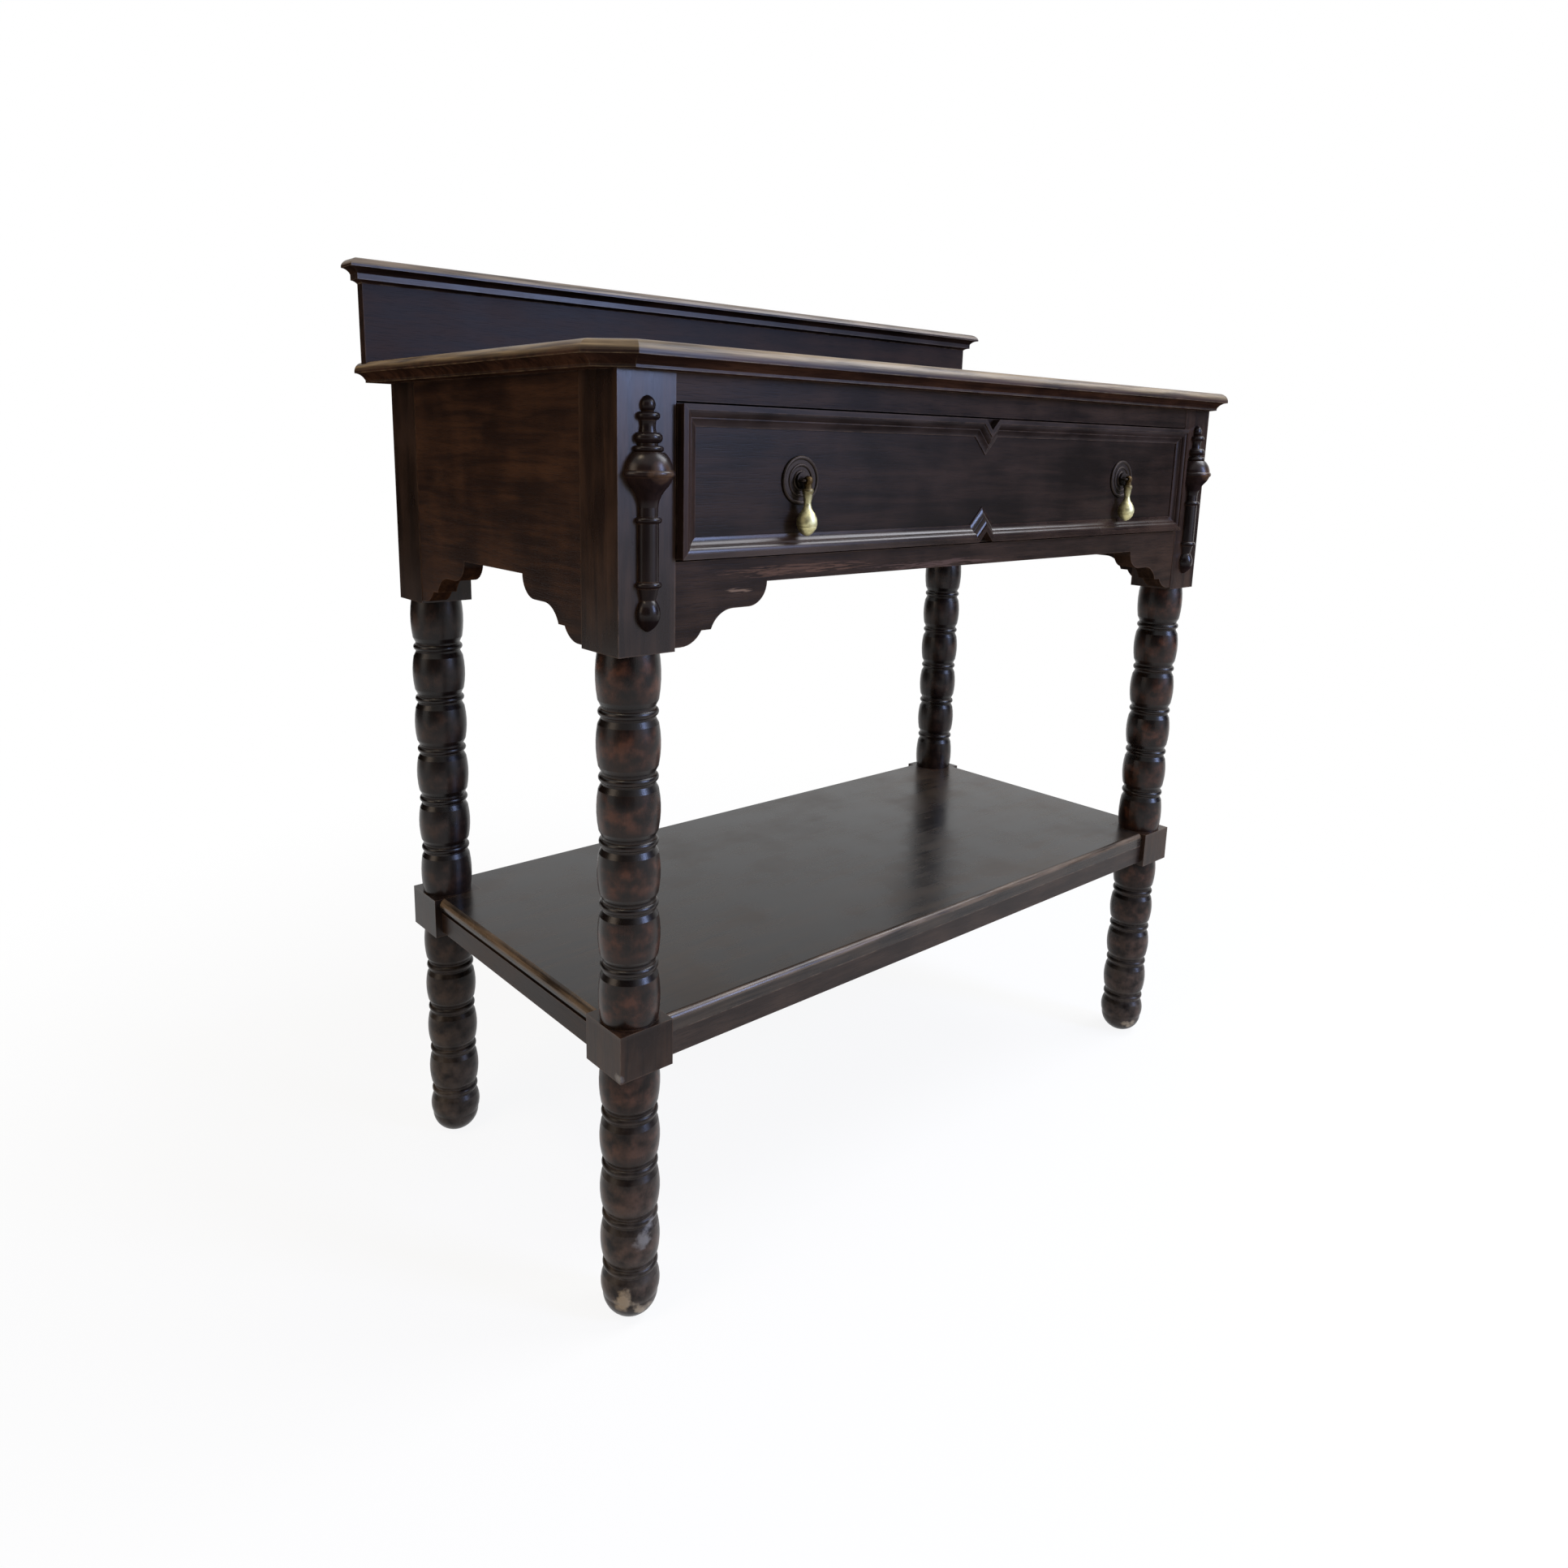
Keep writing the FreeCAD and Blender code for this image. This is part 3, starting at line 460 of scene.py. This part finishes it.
finishes = {
    # Side boards: a dull, warm brown with a cloudy stain
    "side": stained_oak("waxed oak, side boards", "Y", "#20130D", "#3A2415", roughness=0.42),
    # Front rails and the back: dark and nearly matt, with pale rubs along the front arch
    "front": stained_oak(
        "waxed oak, front rails", "X", "#20160F", "#37271C",
        roughness=0.38, gloss=0.08, scuffs=apron_scuffs,
    ),
    # Drawer front: darker than the rails round it, with a little more shine
    "drawer": stained_oak(
        "waxed oak, drawer front", "X", "#18110C", "#2A1D15",
        wear=0.3, roughness=0.35, pores_open=0.3,
    ),
    # Upper moulding: greyer and dull, where dust lies
    "moulding_top": stained_oak(
        "waxed oak, upper moulding", "X", "#1F1814", "#372C26",
        wear=0.4, gloss=0.1, pores_open=0.1,
    ),
    # Lower moulding: wiped most often, so it shines in thin lines
    "moulding_bottom": stained_oak(
        "polished oak, lower moulding", "X", "#1E140F", "#36261C",
        wear=0.2, roughness=0.24, gloss=0.25, pores_open=0.05,
    ),
    # Upright mouldings: a soft shine along dark wood
    "moulding_upright": stained_oak(
        "waxed oak, upright moulding", "Z", "#1C120E", "#30211A",
        wear=0.3, roughness=0.28, pores_open=0.1,
    ),
    # Top: a brown board with its nosing paled to straw, partly rubbed and partly a painted highlight
    "top": stained_oak(
        "waxed oak, top", "X", "#22150F", "#3A2519",
        worn="#8A7656", nosing=0.85, roughness=0.4, gloss=0.2,
    ),
    # Gallery: the dullest of the stained faces, almost black
    "gallery": stained_oak(
        "waxed oak, gallery", "X", "#1A110E", "#281A14",
        wear=0.4, roughness=0.45,
    ),
    # Gallery cap: a shiny edge, pale along its curve, partly rubbed and partly a painted highlight
    "cap": stained_oak(
        "waxed oak, gallery cap", "X", "#1C130F", "#2F2019",
        worn="#80705C", nosing=0.7, gloss=0.28,
    ),
    # Shelf: black-brown wax with a cloudy shine and a pale front edge
    "shelf": stained_oak(
        "waxed oak, shelf", "X", "#181514", "#30261D",
        worn="#84705A", nosing=0.6, nosing_foot=-0.05,
        roughness=0.25, cloudy=0.1, gloss=0.25, pores_open=0.05,
    ),
    # Shelf rails: plain brown strips with a little shine
    "shelf_rail": stained_oak("waxed oak, shelf rails", "X", "#221813", "#382A20", gloss=0.2),
    # Shelf end rails: darker and duller
    "shelf_end": stained_oak("waxed oak, shelf end rails", "Y", "#1E1511", "#302219", gloss=0.12),
    # Front legs: red crowns, black grooves and scuffed feet
    "front_leg": stained_oak(
        "waxed oak, turned front legs", "Z", "#1F1510", "#38261A",
        roughness=0.29, gloss=0.26, pores_open=0.2, turned=True, scuffs=front_leg_scuffs,
    ),
    # Back legs: darker and less red than the front legs as painted shade; seldom touched, so less rubbed
    "back_leg_painted_shade": stained_oak(
        "waxed oak, turned back legs, darkened as painted shade", "Z", "#1A120E", "#2E2018",
        wear=0.4, roughness=0.29, gloss=0.24, pores_open=0.2, turned=True, crown_red="#33231A",
    ),
    # Split turnings: black, with a brown rim
    "turning": stained_oak(
        "blackened oak, split turnings", "Z", "#17100E", "#261B17",
        worn="#7A5A3E", wear=0.4, roughness=0.26, gloss=0.2, pores_open=0.1, split=True,
    ),
    # Drawer sides and what they run on: pale and matt
    "inner": stained_oak(
        "bare oak, drawer and runners", "Y", "#6B4A30", "#8C6845",
        wear=0.1, roughness=0.6,
    ),
    # Drawer back, bottom and stops: the same, with the grain across
    "inner_cross": stained_oak(
        "bare oak, drawer back and bottom", "X", "#6B4A30", "#8C6845",
        wear=0.1, roughness=0.6,
    ),
    # Drops: yellow, with a dull bloom and brown tops
    "drop": worn_brass("worn brass, drops", "#D6CE9C", "#4A3A22", 0.5, handled=True),
    # Plates, staples and nuts: gone nearly black
    "plate": worn_brass("dark bronze, plates", "#3A322C", "#211B17", 0.5),
}

# Which finish each piece takes, by the start of its name
finish_for = {
    "leg_front": "front_leg",
    "leg_back": "back_leg_painted_shade",
    "side_panel": "side",
    "back_panel": "front",
    "front": "front",
    "shelf_board": "shelf",
    "shelf_rail_front": "shelf_rail",
    "shelf_rail_back": "shelf_rail",
    "shelf_rail_left": "shelf_end",
    "shelf_rail_right": "shelf_end",
    "top_board": "top",
    "gallery_board": "gallery",
    "gallery_cap": "cap",
    "split_turning": "turning",
    "drawer_front": "drawer",
    "drawer_moulding_top": "moulding_top",
    "drawer_moulding_bottom": "moulding_bottom",
    "drawer_moulding_left": "moulding_upright",
    "drawer_moulding_right": "moulding_upright",
    "drawer_side": "inner",
    "drawer_runner": "inner",
    "drawer_guide": "inner",
    "kicker": "inner",
    "drawer_back": "inner_cross",
    "drawer_bottom": "inner_cross",
    "drawer_stops": "inner_cross",
    "handle_drop": "drop",
    "handle_plate": "plate",
    "handle_staple": "plate",
    "handle_nuts": "plate",
}
for name, piece in nodes.items():
    finish = next(finish_for[opening] for opening in finish_for if name.startswith(opening))
    piece.data.materials.clear()
    piece.data.materials.append(finishes[finish])


# How far the floor goes from the middle of the table, and where it starts and ends its fade to white
FLOOR_REACH = 15.0
FADE_START = 0.5
FADE_END = 1.3


def seen_directly(tree):
    """1 for what the camera, a reflection or glass sees, 0 for what only lights the table."""
    seen = add(tree, "LightPath", out="Is Camera Ray")
    for ray in ("Is Glossy Ray", "Is Transmission Ray"):
        other = add(tree, "LightPath", out=ray)
        seen = add(tree, "Math", {0: seen, 1: other}, operation="MAXIMUM")
    return seen


def flat_sheet(name, width, length):
    """A flat rectangle round the origin, for the floor and the flags."""
    x = width / 2
    y = length / 2
    mesh = bpy.data.meshes.new(name)
    mesh.from_pydata([(-x, -y, 0.0), (x, -y, 0.0), (x, y, 0.0), (-x, y, 0.0)], [], [(0, 1, 2, 3)])
    sheet = bpy.data.objects.new(name, mesh)
    scene.collection.objects.link(sheet)
    return sheet


def studio_floor():
    """A pale seamless floor: it takes the table's shadow near the feet and fades to white."""
    floor = flat_sheet("floor", 2 * FLOOR_REACH, 2 * FLOOR_REACH)
    material, tree = bare_material("pale floor paper")
    place = add(tree, "TexCoord", out="Object")
    away = add(tree, "VectorMath", {0: place}, "Value", operation="LENGTH")
    fade = add(
        tree,
        "MapRange",
        {"Value": away, "From Min": FADE_START, "From Max": FADE_END, "To Min": 0.9, "To Max": 1.0},
        interpolation_type="SMOOTHSTEP",
    )
    fade = add(tree, "Math", {0: fade, 1: seen_directly(tree)}, operation="MULTIPLY")
    paper = add(tree, "BsdfDiffuse", {"Color": linear("#F2F2F0")})
    white = add(tree, "Emission", {"Color": linear("#FFFFFF"), "Strength": 1.0})
    surface = add(tree, "MixShader", {0: fade, 1: paper, 2: white})
    add(tree, "OutputMaterial", {"Surface": surface})
    floor.data.materials.append(material)


def studio_world():
    """White behind the table; a softer grey fill lights it."""
    world = bpy.data.worlds.new("studio")
    scene.world = world
    world.cycles.sampling_method = "NONE"  # an even white needs no map of its bright spots
    world.use_nodes = True
    tree = world.node_tree
    tree.nodes.clear()
    strength = add(tree, "MapRange", {"Value": seen_directly(tree), "To Min": 0.3, "To Max": 1.0})
    sky = add(tree, "Background", {"Color": linear("#FFFFFF"), "Strength": strength})
    add(tree, "OutputWorld", {"Surface": sky})


def softbox(name, place, target, width, height, power, colour):
    """A soft rectangular lamp that faces its target."""
    lamp = bpy.data.lights.new(name, "AREA")
    lamp.shape = "RECTANGLE"
    lamp.size = width
    lamp.size_y = height
    lamp.energy = power
    lamp.color = linear(colour)[:3]
    holder = bpy.data.objects.new(name, lamp)
    holder.location = place
    holder.rotation_euler = (Vector(target) - Vector(place)).to_track_quat("-Z", "Y").to_euler()
    scene.collection.objects.link(holder)


def black_flag(name, place, target, width, height):
    """A dark screen that only the table's polish shows, which keeps its sheen deep on that side."""
    flag = flat_sheet(name, width, height)
    flag.location = place
    flag.rotation_euler = (Vector(target) - Vector(place)).to_track_quat("Z", "Y").to_euler()
    flag.visible_camera = False
    flag.visible_diffuse = False
    flag.visible_shadow = False
    material, tree = bare_material("black cloth")
    surface = add(tree, "BsdfDiffuse", {"Color": linear("#0A0A0A")})
    add(tree, "OutputMaterial", {"Surface": surface})
    flag.data.materials.append(material)


studio_floor()
studio_world()
softbox(
    "window light", place=(1.45, -2.9, 1.75), target=(-0.2, 0.0, 0.7),
    width=0.75, height=1.7, power=112.0, colour="#AEC4FF",
)
softbox(
    "high right light", place=(1.3, -0.7, 2.3), target=(0.0, 0.0, 0.6),
    width=1.2, height=1.2, power=48.0, colour="#F4F6FF",
)
softbox(
    "warm side light", place=(-3.0, 0.3, 1.5), target=(-0.3, 0.0, 0.6),
    width=1.4, height=1.4, power=19.0, colour="#FFE0C0",
)
softbox(
    "ceiling light", place=(-1.3, -0.2, 2.45), target=(-0.3, -0.1, 0.6),
    width=0.35, height=0.35, power=9.0, colour="#FFE9C8",
)
black_flag("back left flag", place=(-1.7, 2.2, 0.8), target=(-0.4, 0.0, 0.7), width=3.6, height=2.4)
black_flag("left flag", place=(-2.4, -2.0, 1.0), target=(0.0, 0.0, 0.7), width=4.4, height=3.0)
black_flag("right flag", place=(3.0, -1.7, 1.0), target=(0.0, 0.0, 0.7), width=2.0, height=2.4)
